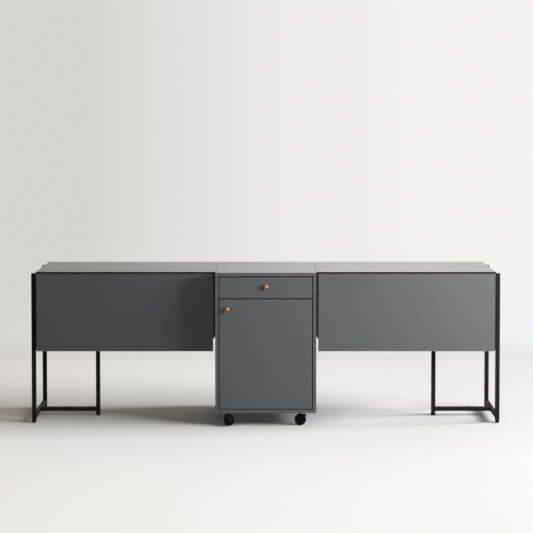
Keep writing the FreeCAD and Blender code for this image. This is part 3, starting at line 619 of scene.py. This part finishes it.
class TABLE_OT_leg_frames(bpy.types.Operator):
    """Square-tube legs and rails with rounded corners, their glides and stand-offs"""
    bl_idname = "table.leg_frames"
    bl_label = "Leg Frames"

    def execute(self, context):
        for side in SIDES:
            for kind in ("posts", "rails"):
                node = f"{side}_leg_{kind}"
                rebuilt(f"{node}_tubes", node, powder_coat(), tube)
        rebuilt("leg_glide_feet", "leg_glides", moulded_nylon(), self.glide)
        rebuilt("leg_standoff_spacers", "leg_standoffs", powder_coat(), self.spacer)
        return {"FINISHED"}

    def glide(self, low, high):
        """A foot with a rounded rim."""
        radius, height = (high.x - low.x) / 2, high.z - low.z
        rim = min(radius, height) / 4
        stations = [(radius - 2 * rim, 0.0)] + rim_stations(radius, height, rim)
        return turned(stations, ((low.x + high.x) / 2, (low.y + high.y) / 2, low.z), (0, 0, 1))

    def spacer(self, low, high):
        """A round spacer with a waist, lying along X."""
        radius, length = (high.y - low.y) / 2, high.x - low.x
        rim = radius / 8
        collar = [(radius - rim, 0.0), (radius, rim), (radius, 2 * rim), (radius - rim, 3 * rim)]
        place = (low.x, (low.y + high.y) / 2, (low.z + high.z) / 2)
        return turned(both_ends(collar, length), place, (1, 0, 0))


class TABLE_OT_knobs(bpy.types.Operator):
    """Turned brass knobs on the drawer and the door"""
    bl_idname = "table.knobs"
    bl_label = "Knobs"

    # Shares of the knob's radius and reach
    NECK = ((0.5, 0.0), (0.5, 0.06), (0.43, 0.1), (0.4, 0.16), (0.45, 0.19))
    HEAD_HALF = 0.44
    HEAD_DEGREES = range(-55, 90, 10)
    TIP = 0.03

    def execute(self, context):
        for node in ("drawer_knob", "door_knob"):
            low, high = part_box(node)
            radius, reach = (high.x - low.x) / 2, high.y - low.y
            foot = ((low.x + high.x) / 2, high.y, (low.z + high.z) / 2)
            head = turned(self.profile(radius, reach), foot, (0, -1, 0))
            head.name = f"{node}_turning"
            finish_piece(head, turned_brass(f"turned_brass_{node}", foot), node)
        return {"FINISHED"}

    def profile(self, radius, reach):
        """A foot, a waisted neck and a round head, a little flattened."""
        half = self.HEAD_HALF * reach
        stations = [(wide * radius, out * reach) for wide, out in self.NECK]
        for angle in map(math.radians, self.HEAD_DEGREES):
            stations.append((radius * math.cos(angle), reach - half + half * math.sin(angle)))
        return stations + [(self.TIP * radius, reach)]


class TABLE_OT_castors(bpy.types.Operator):
    """Twin-wheel castors: arched hoods on their stems, and pairs of wheels"""
    bl_idname = "table.castors"
    bl_label = "Castors"

    # Height of the boss's foot over the axle, as a share of the hood's radius
    BOSS_FOOT = 0.6
    # Shares of a wheel's radius, and of its width for its dished face and hub cap
    RIM = 0.12
    BORE = 0.3
    DISH = ((0.76, 1.0), (0.7, 0.84), (0.34, 0.84), (0.32, 0.98), (0.26, 1.0), (0.04, 1.0))

    def execute(self, context):
        sizes = settings()
        for corner in CORNERS:
            stem = Vector(joint(f"swivel_{corner}")["pos_m"])
            axle = Vector(joint(f"wheel_{corner}")["pos_m"])
            along = Vector(joint(f"wheel_{corner}")["axis"])
            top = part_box(f"{corner}_castor_hood")[1].z
            hood = joined(f"{corner}_castor_shell", self.hood_parts(sizes, stem, axle, along, top))
            finish_piece(hood, moulded_nylon(), f"{corner}_castor_hood")
            wheels = joined(f"{corner}_castor_treads", self.wheel_pair(sizes, axle, along))
            finish_piece(wheels, soft_tyre(), f"{corner}_castor_wheels")
        return {"FINISHED"}

    def hood_parts(self, sizes, stem, axle, along, top):
        """An arch over the wheels, a web between them and a boss for the stem."""
        half_web, radius, boss_radius = sizes.castor_web / 2, sizes.hood_radius, sizes.boss_radius
        arch = self.arch(sizes, axle, along, half_web + sizes.wheel_gap + sizes.wheel_width)
        rim = sizes.castor_web / 8
        web = turned(both_ends([(radius - rim, -half_web), (radius, rim - half_web)], 0.0), axle, along)
        self.keep_above(web, axle.z - radius / 2, cap=True)
        stations = [(boss_radius, axle.z + self.BOSS_FOOT * radius), (boss_radius, top - 2 * rim),
                    (boss_radius - rim, top - rim / 2), (boss_radius - 2 * rim, top)]
        boss = turned(stations, (stem.x, stem.y, 0), (0, 0, 1))
        return [arch, web, boss]

    def arch(self, sizes, axle, along, half):
        """A half round shell over both wheels."""
        start_clean()
        bpy.ops.mesh.primitive_cylinder_add(vertices=sizes.round_steps, radius=sizes.hood_radius,
                                            depth=2 * half, end_fill_type="NOTHING")
        made = stand(bpy.context.object, axle, along)
        self.keep_above(made, axle.z + sizes.hood_skirt, cap=False)
        modified(made, "SOLIDIFY", thickness=sizes.hood_wall, offset=-1)
        modified(made, "BEVEL", width=sizes.hood_wall / 4, segments=2)
        bpy.ops.object.shade_smooth_by_angle(angle=ARCH_CREASE)
        return made

    def keep_above(self, thing, level, cap):
        edit(thing, "FACE")
        bpy.ops.mesh.bisect(plane_co=(0, 0, level), plane_no=(0, 0, 1), clear_inner=True, use_fill=cap)
        bpy.ops.object.mode_set(mode="OBJECT")

    def wheel_pair(self, sizes, axle, along):
        """Each wheel has a rounded tread, a dished outer face and a hub cap."""
        radius, width = axle.z, sizes.wheel_width
        inner = sizes.castor_web / 2 + sizes.wheel_gap
        stations = [(self.BORE * radius, 0.0)] + rim_stations(radius, width, self.RIM * radius)
        stations += [(out * radius, up * width) for out, up in self.DISH]
        return [turned(stations, axle + way * inner * along, way * along) for way in (1, -1)]


class TABLE_OT_drawer_box(bpy.types.Operator):
    """The plywood box behind the drawer's front"""
    bl_idname = "table.drawer_box"
    bl_label = "Drawer Box"

    def execute(self, context):
        for node in ("drawer_sides", "drawer_back", "drawer_bottom"):
            rebuilt(f"{node}_ply", node, birch_plywood(), board)
        return {"FINISHED"}


class TABLE_OT_hardware(bpy.types.Operator):
    """Finishes of the hinges, stays, runners and pins, which keep their CAD shapes"""
    bl_idname = "table.hardware"
    bl_label = "Hardware"

    def execute(self, context):
        dress(powder_coat(), "wing_hinge_plates", "stay_guides", "spine_tubes", "joining_cleats")
        for quarter in QUARTERS:
            dress(powder_coat(), f"{quarter}_leaf_hinge", f"{quarter}_stay_brackets", f"{quarter}_stays")
        dress(zinc_plate(), "hinge_pins", "shelf_pins", "drawer_runners", "drawer_slides",
              "door_strike", "castor_stems")
        dress(black_zinc(), "door_pivots")
        dress(moulded_nylon(), "door_catch")
        return {"FINISHED"}


class TABLE_OT_fixings(bpy.types.Operator):
    """Screws in the back, the stay guides and the brackets, and bolts through the end cheeks"""
    bl_idname = "table.fixings"
    bl_label = "Fixings"

    # A head's stations, as shares of its radius
    HEAD = ((1.0, -0.1), (1.0, 0.16), (0.88, 0.3), (0.56, 0.36), (0.46, 0.36), (0.42, 0.12), (0.05, 0.1))
    BACK_ROWS = 4
    BACK_COLUMNS = 3

    def execute(self, context):
        sizes = settings()
        screw, inset = sizes.screw_radius, sizes.screw_inset
        groups = [("cabinet_back_screws", "joining_cleats", screw, self.back_places(inset)),
                  ("stay_guide_screws", "stay_guides", screw, self.guide_places(inset)),
                  ("end_cheek_bolts", "leg_standoffs", sizes.bolt_radius, self.bolt_places())]
        for quarter in QUARTERS:
            node = f"{quarter}_stay_brackets"
            groups.append((f"{quarter}_bracket_screws", node, screw, self.bracket_places(node, sizes)))
        for name, node, radius, places in groups:
            add_detail(joined(name, copies(self.head(radius), places)), powder_coat(), node)
        return {"FINISHED"}

    def head(self, radius):
        """A low round head with a socket in it."""
        stations = [(out * radius, up * radius) for out, up in self.HEAD]
        return turned(stations, (0, 0, 0), (0, 0, 1), settings().head_steps)

    def back_places(self, inset):
        """Down both sides of the back, and along its top and bottom."""
        low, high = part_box("cabinet_back")
        low, high = low + Vector((inset, 0, inset)), high - Vector((inset, 0, inset))
        wide, tall = high.x - low.x, high.z - low.z
        rows, columns = self.BACK_ROWS, self.BACK_COLUMNS
        spots = [(x, low.z + k * tall / rows) for x in (low.x, high.x) for k in range(rows + 1)]
        spots += [(low.x + k * wide / columns, z) for z in (low.z, high.z) for k in range(1, columns)]
        return [((x, high.y, z), (0, 1, 0)) for x, z in spots]

    def guide_places(self, inset):
        """Three in each guide, clear of its slot and of the arm that swings over it."""
        middle = (CAD_BOX[0][1] + CAD_BOX[1][1]) / 2
        cheeks = solid_boxes("end_cheeks") + solid_boxes("inner_cheeks")
        places = []
        for low, high in solid_boxes("stay_guides"):
            inwards = 1 if min(abs(low.x - cheek[1].x) for cheek in cheeks) < MM else -1
            face = high.x if inwards > 0 else low.x
            inner, outer = high.y - inset, low.y + inset
            if low.y >= middle:
                inner, outer = outer, inner
            spots = [(inner, high.z - inset), (inner, (low.z + high.z) / 2), (outer, low.z + inset)]
            places += [((face, y, z), (inwards, 0, 0)) for y, z in spots]
        return places

    def bolt_places(self):
        """On the cheeks' inner faces, in line with the upper stand-offs."""
        upper = max(box[1].z for box in solid_boxes("leg_standoffs"))
        low, high = solid_boxes("end_cheeks")[0]
        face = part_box("end_cheeks")[1].x - (high.x - low.x)
        places = []
        for low, high in solid_boxes("leg_standoffs"):
            if high.z > upper - MM:
                way = 1 if low.x > 0 else -1
                places.append(((way * face, (low.y + high.y) / 2, (low.z + high.z) / 2), (-way, 0, 0)))
        return places

    def bracket_places(self, node, sizes):
        """Two in each bracket's plate, on the side away from its ear."""
        leaf_low, leaf_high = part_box(node.replace("stay_brackets", "leaf"))
        rear = "rear" in node
        face = leaf_low.y - sizes.bracket_plate if rear else leaf_high.y + sizes.bracket_plate
        middle = (leaf_low.x + leaf_high.x) / 2
        places = []
        for low, high in solid_boxes(node):
            x = high.x - sizes.screw_inset if high.x < middle else low.x + sizes.screw_inset
            for z in (low.z + sizes.screw_inset, high.z - sizes.screw_inset):
                places.append(((x, face, z), (0, -1 if rear else 1, 0)))
        return places


class TABLE_OT_leg_details(bpy.types.Operator):
    """Caps in the end posts, weld beads between tubes and the strips that close the gap beside the leaves"""
    bl_idname = "table.leg_details"
    bl_label = "Leg Details"

    # Rounding of a cap, as a share of its height
    CAP_EDGE = 0.6
    # The end of a weld bead, as shares of its radius
    BEAD_END = ((0.4, 0.0), (0.8, 0.3), (1.0, 1.0))

    def execute(self, context):
        sizes = settings()
        caps, strips, beads = [], [], []
        for side in SIDES:
            posts = solid_boxes(f"{side}_leg_posts")
            outside = max(abs(low.x + high.x) for low, high in posts)
            end_posts = [box for box in posts if abs(box[0].x + box[1].x) > outside - MM]
            caps += [self.cap(low, high, sizes) for low, high in end_posts]
            strips += [self.strip(side, low, high, sizes) for low, high in end_posts]
            beads += self.rail_beads(side, sizes.bead_radius)
        add_detail(joined("post_caps", caps), moulded_nylon(), "leg_glides")
        add_detail(joined("post_strips", strips), powder_coat(), "left_leg_posts")
        add_detail(joined("weld_beads", beads), powder_coat(), "left_leg_rails")
        return {"FINISHED"}

    def cap(self, low, high, sizes):
        """A plug with a low head, a little smaller than the tube."""
        rim = Vector((sizes.cap_rim, sizes.cap_rim, 0))
        base = Vector((low.x, low.y, high.z - sizes.cap_height)) + rim
        head = Vector((high.x, high.y, high.z + sizes.cap_height)) - rim
        return soften(block(base, head), self.CAP_EDGE * sizes.cap_height, sizes.edge_steps)

    def strip(self, side, low, high, sizes):
        """A flat bar on the post's inner face, which ends just short of the leaf's end plane."""
        leaf_low, leaf_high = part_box(f"{side}_front_leaf")
        start, stop = leaf_high.x + sizes.strip_gap, low.x
        if side == "left":
            start, stop = high.x, leaf_low.x - sizes.strip_gap
        margin = sizes.tube_edge
        return board((start, low.y + margin, leaf_low.z), (stop, high.y - margin, high.z - 2 * margin))

    def rail_beads(self, side, radius):
        """On top and beside each end of each rail, apart from the outermost faces, which are ground flush."""
        beads = []
        outermost = CAD_BOX[1][0] - radius
        for low, high in solid_boxes(f"{side}_leg_rails"):
            run = 0 if high.x - low.x > high.y - low.y else 1
            for end in (low[run], high[run]):
                near, far = low.copy(), high.copy()
                near[run] = far[run] = end
                feet = [near, Vector((far.x, far.y, low.z))]
                heads = [Vector((near.x, near.y, high.z)), far]
                lines = [heads] + [line for line in zip(feet, heads) if abs(line[0].x) < outermost]
                beads += [self.bead(start, stop, radius) for start, stop in lines]
        return beads

    def bead(self, start, stop, radius):
        """A thin round run of weld, set in from the corners."""
        way = (stop - start).normalized()
        length = (stop - start).length - 2 * radius
        end = [(out * radius, up * radius) for out, up in self.BEAD_END]
        return turned(both_ends(end, length), start + radius * way, way, settings().head_steps)


class TABLE_OT_studio(bpy.types.Operator):
    """A pale floor that sweeps up to a wall, soft lamps and the camera"""
    bl_idname = "table.studio"
    bl_label = "Studio"

    GLINTING = ("drawer_knob_turning", "door_knob_turning", "left_leg_posts_tubes", "right_leg_posts_tubes",
                "left_leg_rails_tubes", "right_leg_rails_tubes", "post_strips")
    SUNS = (("sun", "#F8FBFF"), ("glow", "#F8FBFF"), ("wall_glow", "#FFF1E0"))

    def execute(self, context):
        studio = context.scene.table_studio
        sweep = self.sweep(studio)
        self.lamps(studio, sweep)
        self.camera(context.scene, studio)
        self.world(context.scene, studio)
        context.scene.view_settings.view_transform = "Standard"
        return {"FINISHED"}

    def sweep(self, studio):
        """A floor whose rear edge is drawn up into a wall, with a cove between them."""
        reach = studio.room
        start_clean()
        bpy.ops.mesh.primitive_plane_add(size=1, location=(0, (studio.wall_y - reach) / 2, 0))
        made = bpy.context.object
        made.scale = (2 * reach, studio.wall_y + reach, 1)
        settle(made)
        made.name = "studio_sweep"
        edit(made, "EDGE")
        self.pick_edges(made, lambda a, b: min(a.y, b.y) > studio.wall_y - MM)
        bpy.ops.mesh.extrude_region_move(TRANSFORM_OT_translate={"value": (0, 0, reach)})
        self.pick_edges(made, lambda a, b: min(a.y, b.y) > studio.wall_y - MM and max(a.z, b.z) < MM)
        bpy.ops.mesh.bevel(offset=studio.cove, segments=COVE_STEPS, affect="EDGES")
        bpy.ops.object.mode_set(mode="OBJECT")
        bpy.ops.object.shade_smooth()
        made.data.materials.append(self.paper(studio))
        return made

    def pick_edges(self, thing, wanted):
        bpy.ops.mesh.select_all(action="DESELECT")
        bpy.ops.object.mode_set(mode="OBJECT")
        spots = [vertex.co for vertex in thing.data.vertices]
        for edge in thing.data.edges:
            edge.select = wanted(*(spots[k] for k in edge.vertices))
        bpy.ops.object.mode_set(mode="EDIT")

    def paper(self, studio):
        """Pale paper: its own tone where it is looked at or mirrored, with painted light that falls off from right
        to left and painted shade towards the seam, and the table's soft shadow.
        """
        made = bpy.data.materials.new("pale_studio_paper")
        made.use_nodes = True
        tree = made.node_tree
        tree.nodes.remove(tree.nodes["Principled BSDF"])
        place = add_node(tree, "TexCoord").outputs["Object"]
        parts = add_node(tree, "SeparateXYZ", {"Vector": place})
        x, y = parts.outputs["X"], parts.outputs["Y"]
        reach, seam = studio.tone_reach, studio.seam_y
        across = add_node(tree, "MapRange", {"Value": x, "From Min": -reach, "From Max": reach})
        behind = add_node(tree, "MapRange", {"Value": y, "From Min": seam - SEAM_SOFT,
                                             "From Max": seam + SEAM_SOFT})
        # Painted light and shade: each tone ramps from a darker left to a lighter right, and darkens towards the
        # seam
        painted_light_tones = []
        for part, dim, run in (("floor", FLOOR_DIM, -FLOOR_DIM_REACH), ("wall", SEAM_DIM, SEAM_DIM_REACH)):
            ramp = add_node(tree, "ValToRGB", {"Fac": across})
            stops = ramp.color_ramp.elements
            stops[0].color = srgb(getattr(studio, f"{part}_left"))
            stops[1].color = srgb(getattr(studio, f"{part}_right"))
            stops.new(0.5).color = srgb(getattr(studio, f"{part}_middle"))
            painted_light_tones.append(tinted(tree, ramp, y, (dim, 1.0), (seam, seam + run)))
        glow = add_node(tree, "Emission", {"Color": painted_light_tones[0]})
        lit = add_node(tree, "BsdfDiffuse", {"Color": painted_light_tones[0]})
        floor_look = add_node(tree, "MixShader", {0: studio.floor_shade, 1: glow, 2: lit})
        wall_look = add_node(tree, "Emission", {"Color": painted_light_tones[1]})
        look = add_node(tree, "MixShader", {0: behind, 1: floor_look, 2: wall_look})
        bounce = add_node(tree, "BsdfDiffuse", {"Color": srgb(studio.bounce)})
        whole = add_node(tree, "MixShader", {0: self.seen(tree), 1: bounce, 2: look})
        tree.links.new(whole.outputs[0], tree.nodes["Material Output"].inputs["Surface"])
        return made

    def seen(self, tree):
        """One for rays that show the studio itself: to the camera, in gloss and through glass."""
        rays = add_node(tree, "LightPath")
        shown = rays.outputs["Is Camera Ray"]
        for kind in ("Is Glossy Ray", "Is Transmission Ray"):
            shown = add_node(tree, "Math", {0: shown, 1: rays.outputs[kind]}, operation="MAXIMUM")
        return shown

    def lamps(self, studio, sweep):
        """Windows from the right, soft lamps above and behind, and the floor's own suns and sky."""
        near = self.lamp("near_window", (2.3, -1.6, 1.4), (-0.1, 0, 0.5), (1.5, 1.8), power=112)
        glint = self.lamp("window_glint", (2.2, -1.5, 1.4), (-0.1, 0, 0.5), (1.2, 1.5), power=110)
        low = self.lamp("low_window", (3.3, -0.55, 1.7), (-0.2, -0.1, 0.5), (0.45, 1.1), power=512)
        top = self.lamp("soft_top", (0.8, 0.5, 2.4), (0, 0, 0.4), (2.4, 1.6), power=96, colour="#FFF8F0")
        rear = self.lamp("soft_rear", (-0.6, 4.6, 2.6), (0, 0, 0.5), (4, 1.6), power=135)
        for lamp in (near, low, rear):
            lamp.visible_glossy = False
        sky = self.lamp("floor_sky", (0, 0.3, 5), (0, 0.3, 0), (10, 10), power=84, colour="#FFEACA")
        far_leaf = bpy.data.objects["left_front_leaf_board"]
        self.link(near, [sweep, far_leaf], "EXCLUDE")
        self.link(low, [far_leaf], "INCLUDE")
        self.link(glint, [bpy.data.objects[name] for name in self.GLINTING], "INCLUDE")
        for lamp in (top, rear):
            self.link(lamp, [sweep], "EXCLUDE")
        suns = [self.sun(studio, *kind) for kind in self.SUNS]
        for lamp in (*suns, sky):
            self.link(lamp, [sweep], "INCLUDE")
        self.link(suns[-1], [sweep], "EXCLUDE", "blocker_collection")

    def sun(self, studio, kind, colour):
        """Its strength gives the level floor this share of its own tone."""
        height, side, spread, share = (getattr(studio, f"{kind}_{part}")
                                       for part in ("height", "side", "spread", "share"))
        level = math.cos(height)
        away = Vector((level * math.cos(side), -level * math.sin(side), math.sin(height)))
        made = self.light("SUN", f"floor_{kind}", away, -away, share * math.pi / math.sin(height), colour)
        made.data.angle = spread
        return made

    def lamp(self, name, place, target, size, power, colour="#FFFFFF"):
        made = self.light("AREA", name, place, Vector(target) - Vector(place), power, colour)
        made.data.shape = "RECTANGLE"
        made.data.size, made.data.size_y = size
        return made

    def light(self, kind, name, place, aim, power, colour):
        bpy.ops.object.light_add(type=kind, location=place)
        made = bpy.context.object
        made.name = name
        made.data.energy = power
        made.data.color = srgb(colour)[:3]
        made.rotation_mode = "QUATERNION"
        made.rotation_quaternion = aim.to_track_quat("-Z", "Y")
        return made

    def link(self, lamp, things, state, role="receiver_collection"):
        """Lights everything but these things, or only these, or lets these cast no shadow."""
        chosen = bpy.data.collections.new(f"{lamp.name}_{role}")
        for thing in things:
            chosen.objects.link(thing)
        for entry in chosen.collection_objects:
            entry.light_linking.link_state = state
        setattr(lamp.light_linking, role, chosen)

    def camera(self, scene, studio):
        bpy.ops.object.camera_add(location=studio.camera_place)
        made = bpy.context.object
        made.name = "photo_camera"
        made.rotation_euler = (math.pi / 2 - studio.camera_pitch, 0, -studio.camera_yaw)
        made.data.lens = studio.lens
        made.data.sensor_width = studio.sensor
        made.data.shift_y = studio.shift_y
        scene.camera = made

    def world(self, scene, studio):
        """Dim even air, which shows as pale as the wall where the paper ends."""
        scene.world = bpy.data.worlds.new("studio_air")
        scene.world.use_nodes = True
        tree = scene.world.node_tree
        air = tree.nodes["Background"]
        air.inputs["Color"].default_value = srgb(studio.wall_middle)
        strength = add_node(tree, "MapRange", {"Value": self.seen(tree), "To Min": AIR_LIGHT})
        tree.links.new(strength.outputs["Result"], air.inputs["Strength"])


class TABLE_PT_panel(bpy.types.Panel):
    """The table's pieces and its settings"""
    bl_idname = "TABLE_PT_panel"
    bl_label = "Folding Dining Table"
    bl_space_type = "VIEW_3D"
    bl_region_type = "UI"
    bl_category = "Table"

    def draw(self, context):
        for operator in PIECE_OPERATORS:
            self.layout.operator(operator.bl_idname)
        for group in SETTING_GROUPS:
            values = getattr(context.scene, group)
            box = self.layout.box()
            for name in values.__annotations__:
                box.prop(values, name)


PIECE_OPERATORS = (
    TABLE_OT_lacquered_boards,
    TABLE_OT_leaves,
    TABLE_OT_wing_tops,
    TABLE_OT_leg_frames,
    TABLE_OT_knobs,
    TABLE_OT_castors,
    TABLE_OT_drawer_box,
    TABLE_OT_hardware,
    TABLE_OT_fixings,
    TABLE_OT_leg_details,
    TABLE_OT_studio,
)
SETTING_GROUPS = {
    "table_pieces": TablePieceSettings,
    "table_finishes": TableFinishSettings,
    "table_studio": TableStudioSettings,
}


def register():
    for name, group in SETTING_GROUPS.items():
        bpy.utils.register_class(group)
        setattr(bpy.types.Scene, name, PointerProperty(type=group))
    for part in (*PIECE_OPERATORS, TABLE_PT_panel):
        bpy.utils.register_class(part)


def unregister():
    for part in reversed((*PIECE_OPERATORS, TABLE_PT_panel)):
        bpy.utils.unregister_class(part)
    for name, group in SETTING_GROUPS.items():
        delattr(bpy.types.Scene, name)
        bpy.utils.unregister_class(group)


def main():
    register()
    bpy.ops.table.lacquered_boards()
    bpy.ops.table.leaves()
    bpy.ops.table.wing_tops()
    bpy.ops.table.leg_frames()
    bpy.ops.table.knobs()
    bpy.ops.table.castors()
    bpy.ops.table.drawer_box()
    bpy.ops.table.hardware()
    bpy.ops.table.fixings()
    bpy.ops.table.leg_details()
    bpy.ops.table.studio()


if __name__ == "__main__":
    main()
